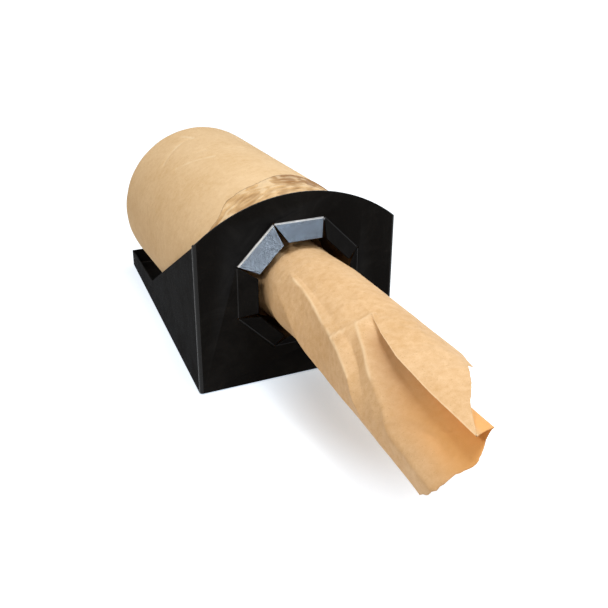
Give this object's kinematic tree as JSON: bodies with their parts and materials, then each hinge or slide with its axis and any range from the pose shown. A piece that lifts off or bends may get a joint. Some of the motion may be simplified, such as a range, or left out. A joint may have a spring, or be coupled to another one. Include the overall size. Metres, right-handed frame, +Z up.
{
  "type": "paper dispenser",
  "caption": "Counter-top dispenser of bent black sheet steel that holds a roll of kraft void-fill paper on its side and feeds the paper from its middle through a ring of petals.",
  "frame": {"origin": "middle of the whole object's footprint, tail included, on the surface that it stands on", "axes": "+Z up, -Y out of the front plate along the paper, +X to the right seen from the front"},
  "size_m": [0.2594, 0.842, 0.237],
  "materials": {
    "black_steel": "satin black powder coat",
    "foot_rubber": "matt black rubber",
    "kraft_roll": "matt kraft paper, tightly wound",
    "kraft_band": "wrinkled kraft paper with a slight gloss",
    "kraft_tail": "matt kraft paper, creased"
  },
  "bodies": {
    "dispenser": {"body_shell": "black_steel", "floor_pan": "black_steel", "foot_front_left": "foot_rubber", "foot_front_right": "foot_rubber", "foot_back_left": "foot_rubber", "foot_back_right": "foot_rubber"},
    "roll": {"paper_roll": "kraft_roll", "wrapper_band": "kraft_band"},
    "tail": {"paper_tail": "kraft_tail"}
  },
  "joints": [
    {"name": "roll_turn", "type": "hinge", "parent": "dispenser", "child": "roll", "pos_m": [0, 0.1665, 0.1198], "axis": [0, 1, 0], "continuous": true},
    {"name": "paper_pull", "type": "slide", "parent": "dispenser", "child": "tail", "axis": [0, -1, 0], "range_m": [0, 0.12]}
  ]
}
